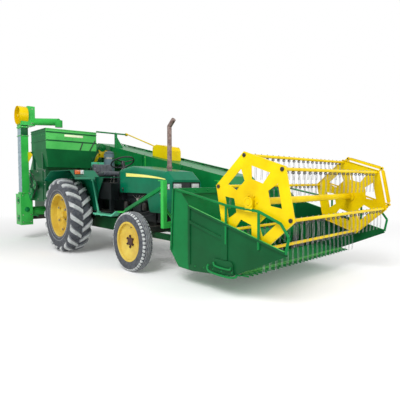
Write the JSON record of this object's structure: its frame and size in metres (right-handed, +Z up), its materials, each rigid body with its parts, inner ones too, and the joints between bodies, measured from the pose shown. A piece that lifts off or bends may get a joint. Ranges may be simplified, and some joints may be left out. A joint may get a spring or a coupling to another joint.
{
  "type": "tractor-mounted combine harvester",
  "caption": "Farm tractor carrying a combine: grain header with tined reel in front, side feeder conveyor, rear threshing unit, grain tank and bucket elevator.",
  "frame": {"origin": "middle of the whole machine's box, on the ground that its wheels stand on", "axes": "+X is forward, +Y is the driver's left, +Z is up"},
  "size_m": [7.5582, 2.741, 2.86],
  "materials": {
    "tractor_green": "gloss green sheet paint",
    "machine_green": "gloss green sheet paint",
    "tank_green": "gloss light green sheet paint",
    "reel_yellow": "gloss yellow paint",
    "wheel_yellow": "satin yellow paint",
    "chassis_black": "satin black paint",
    "tyre_rubber": "dusty tread rubber",
    "exhaust_steel": "heat-browned bare steel",
    "bare_steel": "bright worn steel",
    "rod_chrome": "hard-chromed rod",
    "lamp_glass": "clear ribbed lens",
    "seat_vinyl": "dark grey vinyl",
    "black_plastic": "moulded black plastic"
  },
  "bodies": {
    "chassis": {"cleaning_shoe": "machine_green", "console": "black_plastic", "cross_members": "chassis_black", "elevator_guard": "reel_yellow", "elevator_head": "machine_green", "elevator_leg": "machine_green", "engine_block": "chassis_black", "exhaust": "exhaust_steel", "feed_intake": "machine_green", "fender_left": "tractor_green", "fender_right": "tractor_green", "front_axle": "chassis_black", "front_portal": "machine_green", "front_support": "chassis_black", "grain_tank": "tank_green", "grille": "black_plastic", "hood": "tractor_green", "lamps": "lamp_glass", "platform": "chassis_black", "right_step": "tractor_green", "seat": "seat_vinyl", "steering_wheel": "black_plastic", "straw_hood": "machine_green", "subframe": "chassis_black", "tank_stand": "reel_yellow", "thresher_housing": "machine_green", "transmission": "chassis_black"},
    "wheel_rear_left": {"tyre_rear_left": "tyre_rubber", "rim_rear_left": "wheel_yellow"},
    "wheel_rear_right": {"tyre_rear_right": "tyre_rubber", "rim_rear_right": "wheel_yellow"},
    "wheel_front_left": {"tyre_front_left": "tyre_rubber", "rim_front_left": "wheel_yellow"},
    "wheel_front_right": {"tyre_front_right": "tyre_rubber", "rim_front_right": "wheel_yellow"},
    "steer_left": {"knuckle_left": "chassis_black"},
    "steer_right": {"knuckle_right": "chassis_black"},
    "header": {"feeder_conveyor": "machine_green", "feeder_covers": "machine_green", "feeder_throat": "machine_green", "reel_drive": "reel_yellow", "conveyor_shaft": "bare_steel", "header_pan": "machine_green", "header_end_right": "machine_green", "header_end_left": "machine_green", "cutter_bar": "bare_steel", "divider_rails": "machine_green", "reel_bearings": "chassis_black"},
    "auger_rotor": {"auger": "machine_green"},
    "reel": {"reel_frame": "reel_yellow"},
    "spider": {"reel_spider": "reel_yellow"},
    "cylinder": {"lift_barrels": "chassis_black"},
    "ram": {"lift_rods": "rod_chrome"},
    "bar_1": {"tine_bar_1": "reel_yellow"},
    "bar_2": {"tine_bar_2": "reel_yellow"},
    "bar_3": {"tine_bar_3": "reel_yellow"},
    "bar_4": {"tine_bar_4": "reel_yellow"},
    "bar_5": {"tine_bar_5": "reel_yellow"},
    "bar_6": {"tine_bar_6": "reel_yellow"}
  },
  "joints": [
    {"name": "rear_wheel_left", "type": "hinge", "parent": "chassis", "child": "wheel_rear_left", "pos_m": [-0.879, 0.3365, 0.658], "axis": [0, 1, 0], "continuous": true},
    {"name": "steering_left", "type": "hinge", "parent": "chassis", "child": "steer_left", "pos_m": [1.191, 0.1145, 0.42], "axis": [0, 0, 1], "range_deg": [-35, 35]},
    {"name": "front_wheel_left", "type": "hinge", "parent": "steer_left", "child": "wheel_front_left", "pos_m": [1.191, 0.2845, 0.42], "axis": [0, 1, 0], "continuous": true},
    {"name": "rear_wheel_right", "type": "hinge", "parent": "chassis", "child": "wheel_rear_right", "pos_m": [-0.879, -1.1075, 0.658], "axis": [0, 1, 0], "continuous": true},
    {"name": "steering_right", "type": "hinge", "parent": "chassis", "child": "steer_right", "pos_m": [1.191, -0.8855, 0.42], "axis": [0, 0, 1], "range_deg": [-35, 35]},
    {"name": "front_wheel_right", "type": "hinge", "parent": "steer_right", "child": "wheel_front_right", "pos_m": [1.191, -1.0555, 0.42], "axis": [0, 1, 0], "continuous": true},
    {"name": "header_lift", "type": "hinge", "parent": "chassis", "child": "header", "pos_m": [-2.179, 0.5395, 1.97], "axis": [0, -1, 0], "range_deg": [-2, 4]},
    {"name": "cylinder_swing", "type": "hinge", "parent": "chassis", "child": "cylinder", "pos_m": [0.421, 0.5395, 0.47], "axis": [0, -1, 0], "range_deg": [-2.65, 5.25]},
    {"name": "cylinder_stroke", "type": "slide", "parent": "cylinder", "child": "ram", "axis": [0.5874, 0, 0.8093], "range_m": [-0.1055, 0.2101]},
    {"name": "auger_turn", "type": "hinge", "parent": "header", "child": "auger_rotor", "pos_m": [2.346, 0.1925, 0.48], "axis": [0, 1, 0], "continuous": true},
    {"name": "reel_turn", "type": "hinge", "parent": "header", "child": "reel", "pos_m": [3.239, 0.1925, 1.056], "axis": [0, 1, 0], "continuous": true},
    {"name": "spider_turn", "type": "hinge", "parent": "header", "child": "spider", "pos_m": [3.294, 1.2785, 1.111], "axis": [0, 1, 0], "continuous": true},
    {"name": "bar_turn_1", "type": "hinge", "parent": "reel", "child": "bar_1", "pos_m": [3.13963, 0.1925, 1.53582], "axis": [0, 1, 0], "continuous": true},
    {"name": "bar_turn_2", "type": "hinge", "parent": "reel", "child": "bar_2", "pos_m": [3.60485, 0.1925, 1.38196], "axis": [0, 1, 0], "continuous": true},
    {"name": "bar_turn_3", "type": "hinge", "parent": "reel", "child": "bar_3", "pos_m": [3.70422, 0.1925, 0.90214], "axis": [0, 1, 0], "continuous": true},
    {"name": "bar_turn_4", "type": "hinge", "parent": "reel", "child": "bar_4", "pos_m": [3.33837, 0.1925, 0.57618], "axis": [0, 1, 0], "continuous": true},
    {"name": "bar_turn_5", "type": "hinge", "parent": "reel", "child": "bar_5", "pos_m": [2.87315, 0.1925, 0.73004], "axis": [0, 1, 0], "continuous": true},
    {"name": "bar_turn_6", "type": "hinge", "parent": "reel", "child": "bar_6", "pos_m": [2.77378, 0.1925, 1.20986], "axis": [0, 1, 0], "continuous": true}
  ],
  "couplings": [
    {"joint": "steering_right", "follows": "steering_left", "ratio": 1},
    {"joint": "cylinder_swing", "follows": "header_lift", "ratio": 1.3},
    {"joint": "cylinder_stroke", "follows": "header_lift", "m_per_rad": 2.995},
    {"joint": "spider_turn", "follows": "reel_turn", "ratio": 1},
    {"joint": "bar_turn_1", "follows": "reel_turn", "ratio": -1},
    {"joint": "bar_turn_2", "follows": "reel_turn", "ratio": -1},
    {"joint": "bar_turn_3", "follows": "reel_turn", "ratio": -1},
    {"joint": "bar_turn_4", "follows": "reel_turn", "ratio": -1},
    {"joint": "bar_turn_5", "follows": "reel_turn", "ratio": -1},
    {"joint": "bar_turn_6", "follows": "reel_turn", "ratio": -1}
  ]
}
